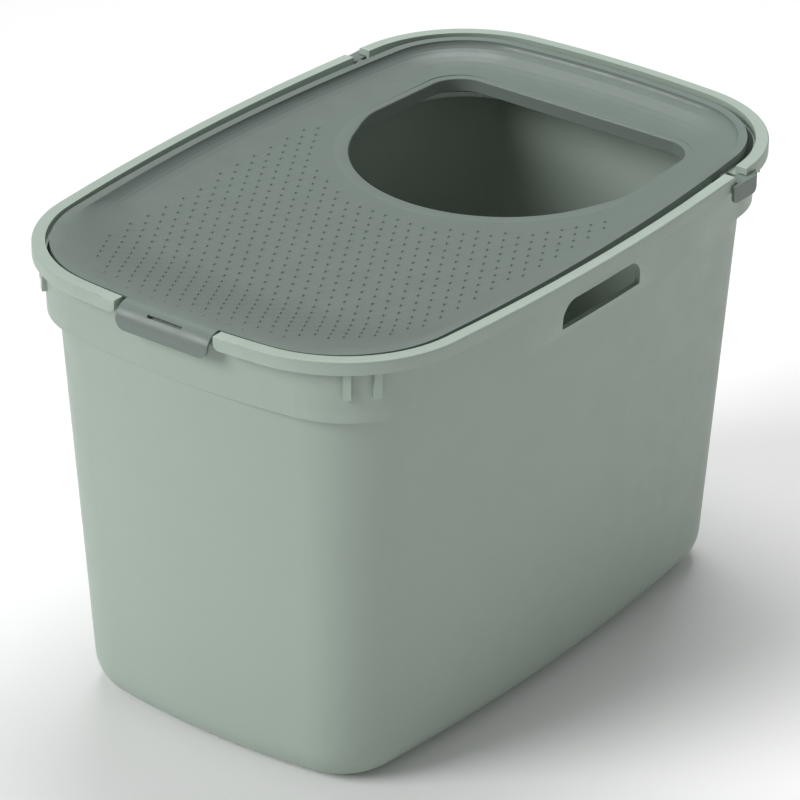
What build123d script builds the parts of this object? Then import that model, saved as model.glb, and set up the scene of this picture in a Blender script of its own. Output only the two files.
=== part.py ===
from build123d import *

import os
from math import cos, radians, sin

# A top entry litter box: a deep tub and a dished lid that hinges in the tub's rim.
# X runs along the box with the entry hole towards +X and the latch tab at -X, Z is up.
# The origin is the middle of the bottom, on the surface that the box stands on.
# Every outline has four outward-bowed sides and round corners. A bow is the distance
# from the middle of a side in to the untrimmed corner points of the outline.

# ---------------------------------------------------------------- driving dimensions
height = 381.0
rim_length = 587.0
rim_width = 392.0
rim_long_bow = 19.5
rim_short_bow = 16.3
rim_corner = 110.0

tub_wall = 2.8
lid_wall = 2.5
running_clearance = 0.3

# rim: a downturned lip around a ledge that carries the lid
rim_top_width = 9.5
lip_height = 10.5
lip_wall = 2.5
rim_edge_radius = 1.3
lip_end_web = 3.0

# collar: the upright band below the lip
collar_end_inset = 11.0
collar_side_inset = 13.5
collar_bow = 19.5
collar_corner = 76.0
collar_depth = 43.5
collar_draft = 1.5

# wall: tapers from the collar to the floor
wall_end_step = 2.0
wall_side_step = 3.0
wall_long_bow = 29.0
wall_short_bow = 27.0
wall_corner = 70.0
floor_half_length = 251.8
floor_half_width = 150.4
floor_long_bow = 15.5
floor_short_bow = 14.3
floor_corner = 56.0
floor_edge_radius = 33.0

# hand holes through the collar's long sides
handle_width = 100.0
handle_height = 21.5
handle_rise = 5.0
handle_top_radius = 15.0
handle_bottom_radius = 1.5
handle_frame = 2.0

# pairs of upright ribs on the collar's corners
rib_width = 6.0
rib_stand = 4.0
rib_spacing = 21.6
rib_drop = 33.0

# notch in the rim for the latch tab, and the catch ledge under the tab's slot
notch_width = 92.0
notch_corner = 5.0
catch_width = 28.0
catch_reach = 2.8
catch_rise = 1.6

# hinge
hinge_x = 172.0
journal_radius = 6.5
hinge_gap_half = 9.0
arm_drop = 5.6
cheek_thickness = 6.0
ear_front = 15.0
ear_rear = 16.0
ear_depth = 14.4
ear_corner = 5.0
ear_wall = 2.5
arm_wall = 3.0
arm_rear = 20.0
undercut_length = 15.0

# lid
lid_sink = 0.5
lid_front_gap = 2.5
lid_side_gap = 6.5
lid_rear_gap = 9.0
lid_front_bow = 14.5
lid_front_fall = 15.5
lid_front_corner = 98.0
lid_rear_bow = 14.0
lid_rear_fall = 21.5
lid_rear_corner = 84.0
strip_width = 6.5
dish_depth = 15.5
dish_side_run = 44.0
dish_front_run = 95.0
dish_steps = 13

# latch tab
tab_width = 85.0
tab_bend_radius = 13.0
tab_stand = 2.0
tab_drop = 19.5
tab_corner = 8.0
slot_width = 32.0
slot_height = 2.5
slot_angle = 50.0

# entry hole
hole_radius = 124.0
hole_centre_x = 118.5
hole_rear_x = 219.0
hole_rear_half_width = 119.0
hole_corner = 30.0
hole_flange_depth = 11.0
hole_ring_width = 5.0
hole_edge_radius = 3.2

# ------------------------------------------------------------------ derived levels
rim_half_length = rim_length / 2
rim_half_width = rim_width / 2
lip_bottom = height - lip_height
ledge_top = lip_bottom + tub_wall
collar_bottom = lip_bottom - collar_depth
collar_half_length = rim_half_length - collar_end_inset
collar_half_width = rim_half_width - collar_side_inset

lid_top = height - lid_sink
bead_bottom = ledge_top + running_clearance
dish_floor = lid_top - dish_depth
dish_underside = dish_floor - lid_wall

journal_z = height - arm_drop - journal_radius
hinge_slot_radius = journal_radius + running_clearance


def bow_drop(distance, half_chord, bow):
    """How far a bowed side has fallen at a distance from its middle."""
    radius = (half_chord**2 + bow**2) / (2 * bow)
    return radius - (radius**2 - distance**2) ** 0.5


def bowed_face(z, half_length, half_width, long_bow, short_bow, corner):
    """Outline at height z with four bowed sides and round corners."""
    x = half_length - short_bow
    y = half_width - long_bow
    with BuildSketch(Plane.XY.offset(z)) as outline:
        with BuildLine():
            ThreePointArc((-x, -y), (0, -half_width), (x, -y))
            ThreePointArc((x, -y), (half_length, 0), (x, y))
            ThreePointArc((x, y), (0, half_width), (-x, y))
            ThreePointArc((-x, y), (-half_length, 0), (-x, -y))
        make_face()
        fillet(outline.vertices(), corner)
    return outline.sketch


def rim_face(z, inset):
    """The rim's outline, moved in by an inset."""
    half_length = rim_half_length - inset
    half_width = rim_half_width - inset
    return bowed_face(z, half_length, half_width, rim_long_bow, rim_short_bow, rim_corner - inset)


def collar_face(z, inset):
    """The collar's outline at height z, which narrows a little towards its bottom."""
    total = inset + collar_draft * (lip_bottom - z) / collar_depth
    half_length = collar_half_length - total
    half_width = collar_half_width - total
    return bowed_face(z, half_length, half_width, collar_bow, collar_bow, collar_corner - inset)


def wall_face(z, inset):
    """The tapered wall's outline at height z, from the floor (0) to the collar."""
    share = z / collar_bottom
    top_half_length = collar_half_length - collar_draft - wall_end_step
    top_half_width = collar_half_width - collar_draft - wall_side_step
    half_length = floor_half_length + (top_half_length - floor_half_length) * share - inset
    half_width = floor_half_width + (top_half_width - floor_half_width) * share - inset
    long_bow = floor_long_bow + (wall_long_bow - floor_long_bow) * share
    short_bow = floor_short_bow + (wall_short_bow - floor_short_bow) * share
    corner = floor_corner + (wall_corner - floor_corner) * share - inset
    return bowed_face(z, half_length, half_width, long_bow, short_bow, corner)


# ------------------------------------------------------------------------------ tub
with BuildPart() as tub_cavity:
    cavity_step = collar_bottom + tub_wall
    loft(sections=[wall_face(tub_wall, tub_wall), wall_face(cavity_step, tub_wall)], ruled=True)
    fillet(tub_cavity.edges().group_by(Axis.Z)[0], floor_edge_radius - tub_wall)
    loft(sections=[collar_face(cavity_step, tub_wall), collar_face(ledge_top, tub_wall)], ruled=True)
    extrude(to_extrude=rim_face(ledge_top, rim_top_width), amount=lip_height)

# the hollow underside of the lip, closed by a web at each end of its segments
with BuildPart() as lip_groove:
    groove_height = lip_height - lip_wall
    groove_outside = rim_face(lip_bottom, lip_wall)
    groove_inside = rim_face(lip_bottom, rim_top_width - lip_wall)
    extrude(to_extrude=groove_outside, amount=groove_height)
    extrude(to_extrude=groove_inside, amount=groove_height, mode=Mode.SUBTRACT)
    with BuildSketch(Plane.XY.offset(lip_bottom)):
        with Locations((hinge_x, 0)):
            Rectangle(2 * (hinge_gap_half + lip_end_web), 2 * rim_width)
        with Locations((-rim_half_length, 0)):
            Rectangle(rim_half_length, notch_width + 2 * lip_end_web)
    extrude(amount=groove_height, mode=Mode.SUBTRACT)

with BuildPart() as tub:
    loft(sections=[wall_face(0, 0), wall_face(collar_bottom, 0)], ruled=True)
    fillet(tub.edges().group_by(Axis.Z)[0], floor_edge_radius)
    loft(sections=[collar_face(collar_bottom, 0), collar_face(lip_bottom, 0)], ruled=True)

    # corner ribs, square to the collar's corner arcs
    collar_edges = collar_face(lip_bottom - rib_drop + lip_height, 0).edges()
    corner_arcs = collar_edges.sort_by(SortBy.LENGTH)[:4]
    for arc in corner_arcs:
        for side in (-1, 1):
            place = 0.5 + side * rib_spacing / 2 / arc.length
            with BuildSketch(Plane(arc @ place, x_dir=arc % place, z_dir=(0, 0, 1))):
                Rectangle(rib_width, 2 * rib_stand)
            extrude(amount=rib_drop - lip_height)

    extrude(to_extrude=rim_face(lip_bottom, 0), amount=lip_height)
    fillet(tub.faces().sort_by(Axis.Z)[-1].outer_wire().edges(), rim_edge_radius)
    add(lip_groove.part, mode=Mode.SUBTRACT)
    add(tub_cavity.part, mode=Mode.SUBTRACT)

    # frames around the hand holes, inside the collar
    handle_z = collar_bottom + handle_rise + handle_height / 2
    frame_face_y = collar_half_width - collar_draft - tub_wall - handle_frame
    for side in (-1, 1):
        with BuildSketch(Plane.XZ.offset(side * frame_face_y)):
            with Locations((0, handle_z)):
                Rectangle(handle_width + 2 * handle_frame, handle_height + 2 * handle_frame)
        extrude(amount=side * (handle_frame + tub_wall / 2))

    # hand holes
    with BuildSketch(Plane.XZ) as handle:
        with Locations((0, handle_z)):
            Rectangle(handle_width, handle_height)
        fillet(handle.vertices().group_by(Axis.Y)[-1], handle_top_radius)
        fillet(handle.vertices().group_by(Axis.Y)[0], handle_bottom_radius)
    extrude(amount=rim_width, both=True, mode=Mode.SUBTRACT)

    # notch for the latch tab: the lip goes whole, the ledge stays
    ledge_edge = rim_half_length - rim_top_width + lip_wall
    with BuildSketch(Plane.YZ.offset(-rim_half_length)):
        with Locations((0, height)):
            Rectangle(notch_width, 2 * lip_height)
        with Locations((-notch_width / 2, lip_bottom), (notch_width / 2, lip_bottom)):
            Rectangle(2 * notch_corner, 2 * notch_corner)
        flare = notch_width / 2 + notch_corner
        with Locations((-flare, lip_bottom + notch_corner), (flare, lip_bottom + notch_corner)):
            Circle(notch_corner, mode=Mode.SUBTRACT)
    extrude(amount=rim_top_width - lip_wall, mode=Mode.SUBTRACT)
    with BuildSketch(Plane.XY.offset(ledge_top)):
        with Locations((-rim_half_length, 0)):
            Rectangle(4 * rim_top_width, notch_width)
    extrude(amount=lip_height, mode=Mode.SUBTRACT)

    # catch under the tab's slot
    with BuildSketch(Plane.XY.offset(lip_bottom)):
        with Locations((-ledge_edge, 0)):
            Rectangle(2 * catch_reach, catch_width)
    extrude(amount=tub_wall + catch_rise)

    # hinge slots, open to the top of the rim
    with BuildSketch(Plane.XZ):
        with Locations((hinge_x, journal_z)):
            Circle(hinge_slot_radius)
            Rectangle(2 * hinge_slot_radius, height, align=(Align.CENTER, Align.MIN))
        with Locations((hinge_x, lip_bottom)):
            Rectangle(2 * hinge_gap_half, height, align=(Align.CENTER, Align.MIN))
    extrude(amount=rim_width, both=True, mode=Mode.SUBTRACT)

    # undercut behind each slot, where the lid's arm tucks under the lip
    undercut_start = hinge_x + hinge_gap_half
    undercut_top = height - arm_drop + running_clearance
    undercut_y = rim_half_width - rim_top_width + lip_wall
    undercut_y -= bow_drop(undercut_start, rim_half_length - rim_short_bow, rim_long_bow)
    for side in (-1, 1):
        with BuildSketch(Plane.XY.offset(lip_bottom)):
            with Locations((undercut_start, side * undercut_y)):
                Rectangle(
                    undercut_length,
                    2 * rim_top_width,
                    align=(Align.MIN, Align.MIN if side > 0 else Align.MAX),
                )
        extrude(amount=undercut_top - lip_bottom, mode=Mode.SUBTRACT)

tub.part.label = "tub"


# ------------------------------------------------------------------------------ lid
def lid_face(z, inset, front_pull=0.0):
    """The lid's outline, moved in by an inset, with its front side pulled back further."""
    half_length = rim_half_length - rim_top_width
    front_x = half_length - lid_front_gap - inset - front_pull
    rear_x = half_length - lid_rear_gap - inset
    side_y = rim_half_width - rim_top_width - lid_side_gap - inset
    front_y = side_y - lid_front_fall
    rear_y = side_y - lid_rear_fall
    front_corner = (-(front_x - lid_front_bow), front_y)
    rear_corner = (rear_x - lid_rear_bow, rear_y)
    with BuildSketch(Plane.XY.offset(z)) as outline:
        with BuildLine():
            side = ThreePointArc(front_corner, (0, side_y), rear_corner)
            mirror(side, about=Plane.XZ)
            ThreePointArc(rear_corner, (rear_x, 0), (rear_corner[0], -rear_y))
            ThreePointArc((front_corner[0], -front_y), (-front_x, 0), front_corner)
        make_face()
        fillet(outline.vertices().sort_by(Axis.X)[:2], lid_front_corner - inset)
        fillet(outline.vertices().sort_by(Axis.X)[-2:], lid_rear_corner - inset)
    return outline.sketch


def dish_sections(thickness):
    """Outlines of the dish at each step down, a thickness below its surface.

    The sides and the rear fall steeply from the strip as a quarter ellipse, while the
    front leaves the strip level and falls in a long soft wave.
    """
    sections = []
    for step in range(dish_steps):
        share = step / (dish_steps - 1)
        fall = (1 - cos(radians(180 * share))) / 2
        steepness = (1 - fall**2) ** 0.5
        run = dish_side_run * (1 - steepness)
        z = lid_top - dish_depth * fall - thickness
        inset = strip_width + run - thickness * steepness
        sections.append(lid_face(z, inset, dish_front_run * share - run))
    return sections


def hole_face(z, grow):
    """The entry hole's outline: a half circle in front, a straight edge at the rear."""
    rear_x = hole_rear_x + grow
    half_width = hole_radius + grow
    rear_half_width = hole_rear_half_width + grow
    with BuildSketch(Plane.XY.offset(z)) as outline:
        with BuildLine():
            side = Line((hole_centre_x, half_width), (rear_x, rear_half_width))
            mirror(side, about=Plane.XZ)
            Line((rear_x, rear_half_width), (rear_x, -rear_half_width))
            ThreePointArc(
                (hole_centre_x, -half_width),
                (hole_centre_x - half_width, 0),
                (hole_centre_x, half_width),
            )
        make_face()
        fillet(outline.vertices().group_by(Axis.X)[-1], hole_corner + grow)
    return outline.sketch


hinge_chord = rim_half_length - rim_short_bow
ear_sweep = (ear_rear**2 + ear_depth**2) ** 0.5 - ear_corner / 2
ear_y = rim_half_width - bow_drop(hinge_x - ear_sweep, hinge_chord, rim_long_bow) + running_clearance
arm_y = rim_half_width - rim_top_width + lip_wall + 2 * running_clearance
arm_y -= bow_drop(hinge_x + hinge_gap_half, hinge_chord, rim_long_bow)
cheek_y = collar_half_width - tub_wall - bow_drop(hinge_x, hinge_chord, collar_bow) - cheek_thickness
arm_top = height - arm_drop

strip_edge = rim_half_length - rim_top_width - lid_front_gap - strip_width

with BuildPart() as dish_hollow:
    loft(sections=dish_sections(0), ruled=True)
    extrude(to_extrude=lid_face(lid_top, strip_width), amount=lip_height)

# tongue over the notch that bends down into the latch tab, with a slot over the catch
with BuildPart() as latch_tab:
    tongue_z = lid_top - lid_wall / 2
    tab_x = -(rim_half_length + tab_stand - lid_wall / 2)
    bend = tab_bend_radius - lid_wall / 2
    with BuildSketch(Plane.XZ):
        with BuildLine():
            flat = Line((-strip_edge, tongue_z), (tab_x + bend, tongue_z))
            RadiusArc(flat @ 1, (tab_x, tongue_z - bend), -bend)
            Line((tab_x, tongue_z - bend), (tab_x, height - tab_drop))
        trace(line_width=lid_wall)
    extrude(amount=tab_width / 2, both=True)
    low_edges = latch_tab.edges().filter_by(Axis.X).group_by(Axis.Z)[0]
    fillet(low_edges, tab_corner)
    bend_x = tab_x + bend - bend * cos(radians(slot_angle))
    bend_z = tongue_z - bend + bend * sin(radians(slot_angle))
    with BuildSketch(Plane.XZ):
        with Locations(Location((bend_x, bend_z), -slot_angle)):
            Rectangle(3 * lid_wall, slot_height)
    extrude(amount=slot_width / 2, both=True, mode=Mode.SUBTRACT)

# ring of the dish floor around the entry hole, with its turned-down flange and round edge
with BuildPart() as hole_ring:
    flange_bottom = dish_floor - hole_flange_depth
    extrude(to_extrude=hole_face(dish_underside, hole_ring_width), amount=lid_wall)
    extrude(to_extrude=hole_face(flange_bottom, lid_wall), amount=hole_flange_depth)
    extrude(to_extrude=hole_face(flange_bottom, 0), amount=hole_flange_depth, mode=Mode.SUBTRACT)
    hole_edges = hole_ring.faces().sort_by(Axis.Z)[-1].inner_wires()[0].edges()
    fillet(hole_edges, hole_edge_radius)

with BuildPart() as lid:
    # bead around the lid, with the strip as its top
    extrude(to_extrude=lid_face(bead_bottom, 0), amount=lid_top - bead_bottom)
    extrude(to_extrude=lid_face(bead_bottom, strip_width), amount=lip_height, mode=Mode.SUBTRACT)

    # dish inside the bead
    extrude(to_extrude=lid_face(lid_top - lid_wall, strip_width - lid_wall), amount=lid_wall)
    loft(sections=dish_sections(lid_wall), ruled=True)
    add(dish_hollow.part, mode=Mode.SUBTRACT)

    add(latch_tab.part)

    # entry hole
    hole_cut = hole_face(dish_underside - lid_wall, hole_ring_width)
    extrude(to_extrude=hole_cut, amount=dish_depth, mode=Mode.SUBTRACT)
    add(hole_ring.part)

    # hinge on each side: a journal in the tub's slot, an ear outside the lip and an arm
    for side in (-1, 1):
        with BuildSketch(Plane.XZ.offset(-side * cheek_y)):
            with Locations((hinge_x, journal_z)):
                Circle(journal_radius)
        extrude(amount=side * (cheek_y - ear_y))
        with BuildSketch(Plane.XZ.offset(-side * ear_y)) as ear:
            with Locations((hinge_x - ear_front, arm_top)):
                Rectangle(ear_front + ear_rear, ear_depth, align=(Align.MIN, Align.MAX))
            fillet(ear.vertices().group_by(Axis.Y)[0], ear_corner)
        extrude(amount=-side * ear_wall)
        with BuildSketch(Plane.XZ.offset(-side * arm_y)):
            with Locations((hinge_x - journal_radius, arm_top)):
                Rectangle(journal_radius + arm_rear, arm_wall, align=(Align.MIN, Align.MAX))
        extrude(amount=-side * (ear_y - arm_y))

lid.part.label = "lid"

# --------------------------------------------------------------------------- export
os.makedirs("parts", exist_ok=True)
export_step(tub.part, "parts/tub.step")
export_step(lid.part, "parts/lid.step")
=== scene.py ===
"""A top entry litter box: its finishes, deck studs and hole lip, in a plain studio."""

import math

import bmesh
import bpy
from mathutils import Matrix, Vector
from mathutils.bvhtree import BVHTree


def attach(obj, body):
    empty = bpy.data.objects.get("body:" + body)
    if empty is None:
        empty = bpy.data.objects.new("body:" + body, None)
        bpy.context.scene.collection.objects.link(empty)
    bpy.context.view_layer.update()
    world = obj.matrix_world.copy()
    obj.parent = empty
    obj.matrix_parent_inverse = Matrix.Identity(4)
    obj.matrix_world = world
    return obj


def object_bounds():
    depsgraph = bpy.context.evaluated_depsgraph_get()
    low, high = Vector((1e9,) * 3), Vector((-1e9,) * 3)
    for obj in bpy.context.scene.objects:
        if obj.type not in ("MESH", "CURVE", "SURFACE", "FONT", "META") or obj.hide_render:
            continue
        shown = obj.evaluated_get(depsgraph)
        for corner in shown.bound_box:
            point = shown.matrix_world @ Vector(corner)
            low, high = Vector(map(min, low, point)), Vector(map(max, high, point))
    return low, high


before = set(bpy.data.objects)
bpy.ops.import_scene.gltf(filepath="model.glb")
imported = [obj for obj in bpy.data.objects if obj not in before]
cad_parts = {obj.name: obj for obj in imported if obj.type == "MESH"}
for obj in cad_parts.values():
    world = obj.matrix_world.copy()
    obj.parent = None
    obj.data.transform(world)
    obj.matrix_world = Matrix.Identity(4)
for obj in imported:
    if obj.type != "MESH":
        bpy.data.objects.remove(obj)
cad_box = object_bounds()

MM = 0.001
UP = Vector((0.0, 0.0, 1.0))
DOWN = Vector((0.0, 0.0, -1.0))
DROP_HEIGHT = 1.0

# camera: angles in radians, lens and sensor in millimetres, shift in shares of the frame
CAMERA_AZIMUTH = -0.927
CAMERA_ELEVATION = 0.484
CAMERA_ROLL = 0.011
CAMERA_DISTANCE = 3.68096
CAMERA_TARGET = Vector((0.0, 0.0, 0.18911))
CAMERA_LENS = 212.461
CAMERA_SENSOR = 36.0
CAMERA_SHIFT = (-0.008344, 0.007935)
CAMERA_CLIP_START = 0.1
CAMERA_CLIP_END = 50.0

# studio: angles in degrees, lengths in metres
WHITE = (1.0, 1.0, 1.0, 1.0)
SKY_STRENGTH = 0.28
KEY_AZIMUTH = 60.0
KEY_ELEVATION = 30.0
KEY_STRENGTH = 2.0
KEY_SPREAD = 30.0
FILL_AZIMUTH = 170.0
FILL_ELEVATION = 7.0
FILL_STRENGTH = 0.22
FILL_SPREAD = 40.0
TOP_PLACE = (0.6, 0.35, 2.4)
TOP_AIM = (0.0, 0.0, 0.3)
TOP_SIZE = (1.3, 1.3)
TOP_POWER = 35.0
FLOOR_HALF = 12.0
FLOOR_ALBEDO = 0.95
FLOOR_ROUGHNESS = 0.9

# the two mouldings: linear colour, specular level and the strength of each effect
TUB_GREEN = (0.335, 0.405, 0.350)
LID_GREEN = (0.150, 0.185, 0.168)
TUB_GLOSS = 0.45
LID_GLOSS = 0.32
# the edge share is a painted highlight, which lightens the colour along sharp edges
PIGMENT = {"Cloud": 0.05, "Speck": 0.10, "EdgeHighlight": 0.12}
TUB_SKIN = {"Grain": 0.00005, "Wave": 0.0003, "Smooth": 0.42, "Rough": 0.55}
LID_SKIN = {"Grain": 0.00005, "Wave": 0.0002, "Smooth": 0.30, "Rough": 0.42}

# noises: scale, detail and roughness
CLOUD_NOISE = (9.0, 3.0, 0.5)
SPECK_NOISE = (1400.0, 2.0, 0.5)
GRAIN_NOISE = (900.0, 2.0, 0.5)
WAVE_NOISE = (14.0, 1.0, 0.5)
RUB_NOISE = (45.0, 5.0, 0.6)
NOISE_MIDDLE = 0.5

# where the painted edge highlight begins and ends in pointiness, and rubbed patches in their
# noise
EDGE_HIGHLIGHT_LIMITS = (0.52, 0.60)
RUB_LIMITS = (0.35, 0.65)

# studs of the deck: columns across the lid, with every other column half a pitch over
STUD_PITCH = 12.0 * MM
STUD_COLUMN_STEP = STUD_PITCH * math.sqrt(3.0) / 2.0
STUD_EVEN_COLUMN = 10.83 * MM
STUD_BASE_RADIUS = 1.25 * MM
STUD_TOP_RADIUS = 0.85 * MM
STUD_SHOULDER = 0.25 * MM
STUD_HEIGHT = 1.6 * MM
STUD_SINK = 0.4 * MM
STUD_SIDES = 8
STUD_FRONT = -272.0 * MM
STUD_REAR = 73.5 * MM
STUD_HALF_WIDTH = 145.0 * MM
STUD_BOW = 15.5 * MM
STUD_BOW_REACH = 267.0 * MM
STUD_CORNER = 90.0 * MM
STUD_HOLE_RADIUS = 147.0 * MM
STUD_RINGS = (
    (STUD_BASE_RADIUS, -STUD_SINK),
    (STUD_TOP_RADIUS, STUD_HEIGHT - STUD_SHOULDER),
    (STUD_TOP_RADIUS - STUD_SHOULDER, STUD_HEIGHT),
)

# entry hole: a half circle in front, two sides that close in a little and a straight rear
HOLE_CENTRE_X = 118.5 * MM
HOLE_RADIUS = 124.0 * MM
HOLE_REAR_X = 219.0 * MM
HOLE_REAR_HALF_WIDTH = 119.0 * MM
HOLE_CORNER = 30.0 * MM

# lip laid over the hole's edge, which narrows the front arc; its edges are sharp, apart
# from those that start at its smooth points
LIP_INSET = 0.8 * MM
LIP_FRONT_INSET = 5.3 * MM
LIP_INSET_RAMP = 0.35
LIP_REACH = 6.5 * MM
LIP_RISE = 0.1 * MM
LIP_BEVEL = 0.3 * MM
LIP_ROUND = 1.2 * MM
LIP_ROUND_STEPS = 6
LIP_SMOOTH_POINTS = range(3, 3 + LIP_ROUND_STEPS)
LIP_DEPTH = 10.8 * MM
LIP_ROOT = 1.0 * MM
LIP_ROOT_DEPTH = 1.5 * MM
LIP_ARC_STEPS = 60
LIP_CORNER_STEPS = 14
DECK_PROBE_X = -40.0 * MM


# --------------------------------------------------------------------------- studio
def make_camera():
    data = bpy.data.cameras.new("camera")
    camera = bpy.data.objects.new("camera", data)
    bpy.context.scene.collection.objects.link(camera)
    flat = math.cos(CAMERA_ELEVATION)
    back = Vector((
        math.sin(CAMERA_AZIMUTH) * flat,
        -math.cos(CAMERA_AZIMUTH) * flat,
        math.sin(CAMERA_ELEVATION),
    ))
    level_right = (-back).cross(UP).normalized()
    level_up = level_right.cross(-back)
    turn_cos = math.cos(CAMERA_ROLL)
    turn_sin = math.sin(CAMERA_ROLL)
    right = level_right * turn_cos + level_up * turn_sin
    up = level_up * turn_cos - level_right * turn_sin
    place = Matrix((right, up, back)).transposed().to_4x4()
    place.translation = CAMERA_TARGET + back * CAMERA_DISTANCE
    camera.matrix_world = place
    data.lens = CAMERA_LENS
    data.sensor_width = CAMERA_SENSOR
    data.shift_x = CAMERA_SHIFT[0]
    data.shift_y = CAMERA_SHIFT[1]
    data.clip_start = CAMERA_CLIP_START
    data.clip_end = CAMERA_CLIP_END
    bpy.context.scene.camera = camera


def aim_light(name, data, place, aim):
    """Hang a light at a place, facing the point it is aimed at."""
    light = bpy.data.objects.new(name, data)
    light.location = place
    direction = Vector(aim) - Vector(place)
    light.rotation_mode = "QUATERNION"
    light.rotation_quaternion = direction.to_track_quat("-Z", "Y")
    bpy.context.scene.collection.objects.link(light)


def far_light(name, azimuth, elevation, strength, spread):
    """A soft light from far away, its azimuth turning from +Y towards -X."""
    turn = math.radians(azimuth)
    rise = math.radians(elevation)
    flat = math.cos(rise)
    place = (-math.sin(turn) * flat, math.cos(turn) * flat, math.sin(rise))
    data = bpy.data.lights.new(name, "SUN")
    data.energy = strength
    data.angle = math.radians(spread)
    aim_light(name, data, place, (0.0, 0.0, 0.0))


def make_lights():
    far_light("key", KEY_AZIMUTH, KEY_ELEVATION, KEY_STRENGTH, KEY_SPREAD)
    far_light("fill", FILL_AZIMUTH, FILL_ELEVATION, FILL_STRENGTH, FILL_SPREAD)
    top = bpy.data.lights.new("top", "AREA")
    top.shape = "RECTANGLE"
    top.size = TOP_SIZE[0]
    top.size_y = TOP_SIZE[1]
    top.energy = TOP_POWER
    aim_light("top", top, TOP_PLACE, TOP_AIM)


def make_world():
    world = bpy.data.worlds.new("studio")
    world.use_nodes = True
    background = world.node_tree.nodes["Background"]
    background.inputs["Color"].default_value = WHITE
    background.inputs["Strength"].default_value = SKY_STRENGTH
    bpy.context.scene.world = world
    bpy.context.scene.view_settings.view_transform = "Standard"


def make_floor():
    half = FLOOR_HALF
    corners = [(-half, -half, 0.0), (half, -half, 0.0), (half, half, 0.0), (-half, half, 0.0)]
    mesh = bpy.data.meshes.new("floor")
    mesh.from_pydata(corners, [], [(0, 1, 2, 3)])
    floor = bpy.data.objects.new("floor", mesh)
    bpy.context.scene.collection.objects.link(floor)
    paint = bpy.data.materials.new("pale_floor")
    paint.use_nodes = True
    shader = paint.node_tree.nodes["Principled BSDF"]
    grey = (FLOOR_ALBEDO, FLOOR_ALBEDO, FLOOR_ALBEDO, 1.0)
    shader.inputs["Base Color"].default_value = grey
    shader.inputs["Roughness"].default_value = FLOOR_ROUGHNESS
    mesh.materials.append(paint)


make_camera()
make_lights()
make_world()
make_floor()


# ------------------------------------------------------------------------ materials
def new_group(name, inputs, outputs):
    """A shader node group with its sockets, and its input and output nodes."""
    group = bpy.data.node_groups.new(name, "ShaderNodeTree")
    for label, kind in inputs.items():
        group.interface.new_socket(label, in_out="INPUT", socket_type=kind)
    for label, kind in outputs.items():
        group.interface.new_socket(label, in_out="OUTPUT", socket_type=kind)
    start = group.nodes.new("NodeGroupInput")
    end = group.nodes.new("NodeGroupOutput")
    return group, start, end


def noise(group, scale, detail, roughness):
    """Noise that is fixed to the piece."""
    place = group.nodes.new("ShaderNodeTexCoord")
    texture = group.nodes.new("ShaderNodeTexNoise")
    texture.inputs["Scale"].default_value = scale
    texture.inputs["Detail"].default_value = detail
    texture.inputs["Roughness"].default_value = roughness
    group.links.new(place.outputs["Object"], texture.inputs["Vector"])
    return texture.outputs["Fac"]


def stretch(group, value, limits):
    """A node that stretches a value, so that its limits land on To Min and To Max."""
    node = group.nodes.new("ShaderNodeMapRange")
    node.inputs["From Min"].default_value = limits[0]
    node.inputs["From Max"].default_value = limits[1]
    group.links.new(value, node.inputs["Value"])
    return node


def math_node(group, operation, first, second):
    """One operation on two values, each a number or a socket."""
    node = group.nodes.new("ShaderNodeMath")
    node.operation = operation
    for socket, value in zip(node.inputs, (first, second)):
        if isinstance(value, (int, float)):
            socket.default_value = value
        else:
            group.links.new(value, socket)
    return node.outputs["Value"]


def colour_group():
    """The moulding's colour: cloudy pigment, fine specks and a painted highlight that
    lightens sharp edges.
    """
    inputs = {"Colour": "NodeSocketColor"}
    for label in PIGMENT:
        inputs[label] = "NodeSocketFloat"
    outputs = {"Colour": "NodeSocketColor"}
    group, start, end = new_group("plastic_colour", inputs, outputs)
    cloud = math_node(group, "SUBTRACT", noise(group, *CLOUD_NOISE), NOISE_MIDDLE)
    speck = math_node(group, "SUBTRACT", noise(group, *SPECK_NOISE), NOISE_MIDDLE)
    geometry = group.nodes.new("ShaderNodeNewGeometry")
    # painted highlight: the colour is made lighter where pointiness marks a sharp edge
    edge_highlight_mask = stretch(group, geometry.outputs["Pointiness"], EDGE_HIGHLIGHT_LIMITS)
    cloudy = math_node(group, "MULTIPLY", cloud, start.outputs["Cloud"])
    specky = math_node(group, "MULTIPLY", speck, start.outputs["Speck"])
    painted_highlight = math_node(group, "MULTIPLY", edge_highlight_mask.outputs["Result"], start.outputs["EdgeHighlight"])
    gain = math_node(group, "ADD", cloudy, specky)
    gain = math_node(group, "ADD", gain, painted_highlight)
    gain = math_node(group, "ADD", gain, 1.0)
    tint = group.nodes.new("ShaderNodeVectorMath")
    tint.operation = "SCALE"
    group.links.new(start.outputs["Colour"], tint.inputs["Vector"])
    group.links.new(gain, tint.inputs["Scale"])
    group.links.new(tint.outputs["Vector"], end.inputs["Colour"])
    return group


def skin_group():
    """The moulding's skin: etched grain, slow waviness and faint rubbed patches."""
    inputs = {label: "NodeSocketFloat" for label in TUB_SKIN}
    outputs = {"Roughness": "NodeSocketFloat", "Normal": "NodeSocketVector"}
    group, start, end = new_group("plastic_skin", inputs, outputs)
    grain = math_node(group, "MULTIPLY", noise(group, *GRAIN_NOISE), start.outputs["Grain"])
    wave = math_node(group, "MULTIPLY", noise(group, *WAVE_NOISE), start.outputs["Wave"])
    bump = group.nodes.new("ShaderNodeBump")
    bump.inputs["Distance"].default_value = 1.0
    group.links.new(math_node(group, "ADD", grain, wave), bump.inputs["Height"])
    group.links.new(bump.outputs["Normal"], end.inputs["Normal"])
    rubbed = stretch(group, noise(group, *RUB_NOISE), RUB_LIMITS)
    group.links.new(start.outputs["Smooth"], rubbed.inputs["To Min"])
    group.links.new(start.outputs["Rough"], rubbed.inputs["To Max"])
    group.links.new(rubbed.outputs["Result"], end.inputs["Roughness"])
    return group


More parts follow.
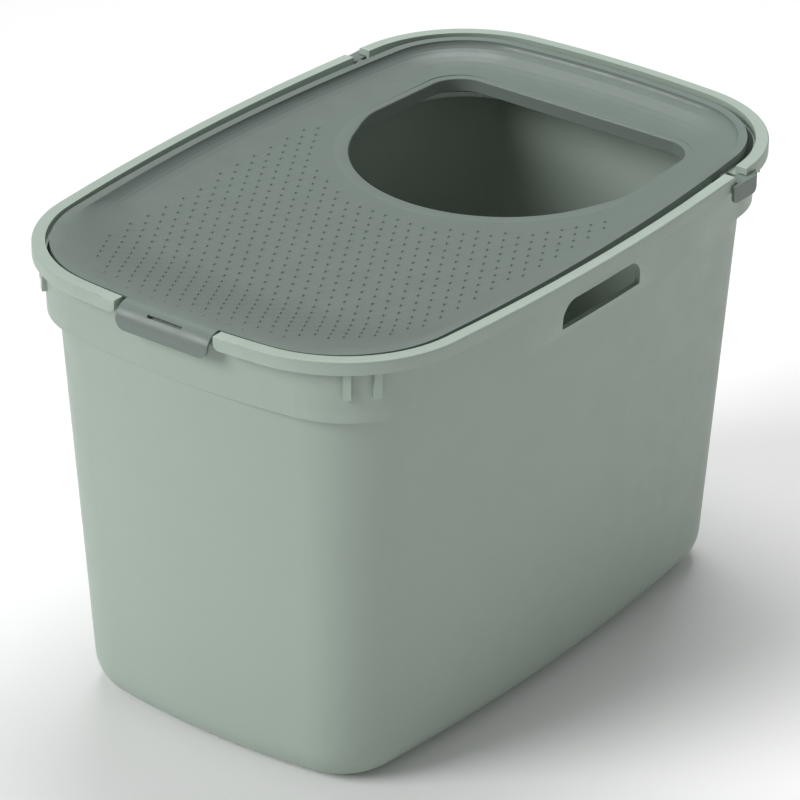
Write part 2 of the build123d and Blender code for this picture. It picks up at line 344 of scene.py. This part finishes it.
def place_group(tree, group, values):
    """A group placed in a material, with the material's own values."""
    node = tree.nodes.new("ShaderNodeGroup")
    node.node_tree = group
    for label, value in values.items():
        node.inputs[label].default_value = value
    return node


PLASTIC_COLOUR = colour_group()
PLASTIC_SKIN = skin_group()


def moulded_plastic(name, colour, gloss, skin_values):
    paint = bpy.data.materials.new(name)
    paint.use_nodes = True
    tree = paint.node_tree
    shader = tree.nodes["Principled BSDF"]
    shader.inputs["Specular IOR Level"].default_value = gloss
    tint = place_group(tree, PLASTIC_COLOUR, {"Colour": (*colour, 1.0), **PIGMENT})
    skin = place_group(tree, PLASTIC_SKIN, skin_values)
    tree.links.new(tint.outputs["Colour"], shader.inputs["Base Color"])
    tree.links.new(skin.outputs["Roughness"], shader.inputs["Roughness"])
    tree.links.new(skin.outputs["Normal"], shader.inputs["Normal"])
    return paint


def dress(node, paint):
    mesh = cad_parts[node].data
    mesh.materials.clear()
    mesh.materials.append(paint)


tub_paint = moulded_plastic("tub_plastic", TUB_GREEN, TUB_GLOSS, TUB_SKIN)
lid_paint = moulded_plastic("lid_plastic", LID_GREEN, LID_GLOSS, LID_SKIN)
dress("tub", tub_paint)
dress("lid", lid_paint)


# ------------------------------------------------------------------ pieces on the lid
def surface_tree(node):
    """A search tree of a node's surface."""
    shape = bmesh.new()
    shape.from_mesh(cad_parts[node].data)
    tree = BVHTree.FromBMesh(shape)
    shape.free()
    return tree


def drop(tree, x, y):
    """Where something let fall from above x and y meets a surface."""
    return tree.ray_cast(Vector((x, y, DROP_HEIGHT)), DOWN)[0]


def new_piece(name, shape, paint):
    """A painted piece from a finished shape."""
    mesh = bpy.data.meshes.new(name)
    shape.to_mesh(mesh)
    shape.free()
    mesh.materials.append(paint)
    piece = bpy.data.objects.new(name, mesh)
    bpy.context.scene.collection.objects.link(piece)
    return piece


# ---------------------------------------------------------------------------- studs
def stud_side(x):
    """How far from the middle line the studs reach in the column at x."""
    side = STUD_HALF_WIDTH - STUD_BOW * (x / STUD_BOW_REACH) ** 2
    into_corner = STUD_FRONT + STUD_CORNER - x
    if into_corner > 0:
        side -= STUD_CORNER - math.sqrt(max(STUD_CORNER**2 - into_corner**2, 0.0))
    return side


def stud_places():
    """Where the studs stand on the deck, seen from above."""
    places = []
    first = math.ceil((STUD_FRONT - STUD_EVEN_COLUMN) / STUD_COLUMN_STEP)
    last = math.floor((STUD_REAR - STUD_EVEN_COLUMN) / STUD_COLUMN_STEP)
    for column in range(first, last + 1):
        x = STUD_EVEN_COLUMN + column * STUD_COLUMN_STEP
        offset = (column % 2) * STUD_PITCH / 2.0
        side = stud_side(x)
        reach = math.ceil(side / STUD_PITCH) + 1
        for row in range(-reach, reach + 1):
            y = row * STUD_PITCH + offset
            near_hole = math.hypot(x - HOLE_CENTRE_X, y) < STUD_HOLE_RADIUS
            if abs(y) <= side and not near_hole:
                places.append((x, y))
    return places


def add_stud(shape, foot, room):
    """One round stud with a bevelled top, no higher than the room over its foot."""
    below = None
    for radius, rise in STUD_RINGS:
        ring = []
        for side in range(STUD_SIDES):
            turn = 2.0 * math.pi * side / STUD_SIDES
            away = Vector((math.cos(turn) * radius, math.sin(turn) * radius, min(rise, room)))
            ring.append(shape.verts.new(foot + away))
        if below:
            for side in range(STUD_SIDES):
                after = (side + 1) % STUD_SIDES
                shape.faces.new((below[side], below[after], ring[after], ring[side]))
        below = ring
    shape.faces.new(below)


def make_studs():
    """The field of studs, which stays under the top of the rim."""
    deck = surface_tree("lid")
    top = cad_box[1][2]
    shape = bmesh.new()
    for x, y in stud_places():
        foot = drop(deck, x, y)
        add_stud(shape, foot, top - foot.z)
    for face in shape.faces:
        face.smooth = True
    studs = new_piece("deck_studs", shape, lid_paint)
    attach(studs, "lid")


make_studs()


# ------------------------------------------------------------------------- hole lip
def smooth_step(share):
    """A share that leaves 0 and meets 1 with no kink."""
    share = min(max(share, 0.0), 1.0)
    return share * share * (3.0 - 2.0 * share)


def half_hole():
    """Stations on the hole's +Y half, rear to front: place, way out and inset."""
    side_fall = (HOLE_REAR_HALF_WIDTH - HOLE_RADIUS) / (HOLE_REAR_X - HOLE_CENTRE_X)
    side_turn = math.pi / 2.0 + math.atan(side_fall)
    corner_x = HOLE_REAR_X - HOLE_CORNER
    side_y = HOLE_RADIUS + side_fall * (corner_x - HOLE_CENTRE_X)
    corner = Vector((corner_x, side_y - HOLE_CORNER / math.sin(side_turn)))
    front = Vector((HOLE_CENTRE_X, 0.0))
    stations = [(Vector((HOLE_REAR_X, 0.0)), Vector((1.0, 0.0)), LIP_INSET)]
    for step in range(LIP_CORNER_STEPS + 1):
        turn = side_turn * step / LIP_CORNER_STEPS
        out = Vector((math.cos(turn), math.sin(turn)))
        stations.append((corner + out * HOLE_CORNER, out, LIP_INSET))
    for step in range(LIP_ARC_STEPS + 1):
        turn = math.pi / 2.0 * (1.0 + step / LIP_ARC_STEPS)
        out = Vector((math.cos(turn), math.sin(turn)))
        share = smooth_step(-out.x / LIP_INSET_RAMP)
        inset = LIP_INSET + (LIP_FRONT_INSET - LIP_INSET) * share
        stations.append((front + out * HOLE_RADIUS, out, inset))
    return stations


def hole_stations():
    """Stations all round the hole."""
    half = half_hole()
    other_half = [
        (Vector((place.x, -place.y)), Vector((out.x, -out.y)), inset)
        for place, out, inset in reversed(half[1:-1])
    ]
    return half + other_half


def lip_section(inset):
    """The lip's section, from its foot on the deck round its edge to its root."""
    section = [(LIP_REACH, -LIP_BEVEL), (LIP_REACH - LIP_BEVEL, LIP_RISE)]
    for step in range(LIP_ROUND_STEPS + 1):
        roll = math.pi / 2.0 * step / LIP_ROUND_STEPS
        away = LIP_ROUND * (1.0 - math.sin(roll)) - inset
        section.append((away, LIP_RISE - LIP_ROUND * (1.0 - math.cos(roll))))
    section.append((-inset, -LIP_DEPTH))
    section.append((LIP_ROOT, -LIP_DEPTH))
    section.append((LIP_ROOT, -LIP_ROOT_DEPTH))
    section.append((LIP_REACH - LIP_ROOT, -LIP_ROOT_DEPTH))
    return section


def lip_rings(shape, deck_z):
    """The lip's section at each station, as rings of corners."""
    rings = []
    for place, out, inset in hole_stations():
        ring = []
        for away, rise in lip_section(inset):
            corner = place + out * away
            ring.append(shape.verts.new((corner.x, corner.y, deck_z + rise)))
        rings.append(ring)
    return rings


def skin_lip(shape, rings):
    """Faces all round the lip, with the long edges of its flat sides sharp."""
    pairs = list(zip(rings, rings[1:] + rings[:1]))
    for ring, after in pairs:
        for first in range(len(ring)):
            second = (first + 1) % len(ring)
            shape.faces.new((ring[first], after[first], after[second], ring[second]))
    bmesh.ops.recalc_face_normals(shape, faces=shape.faces)
    for face in shape.faces:
        face.smooth = True
    for ring, after in pairs:
        for point, corner in enumerate(ring):
            if point not in LIP_SMOOTH_POINTS:
                shape.edges.get((corner, after[point])).smooth = False


def make_hole_lip():
    """The rounded lip over the edge of the entry hole."""
    deck_z = drop(surface_tree("lid"), DECK_PROBE_X, 0.0).z
    shape = bmesh.new()
    skin_lip(shape, lip_rings(shape, deck_z))
    lip = new_piece("hole_lip", shape, lid_paint)
    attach(lip, "lid")


make_hole_lip()
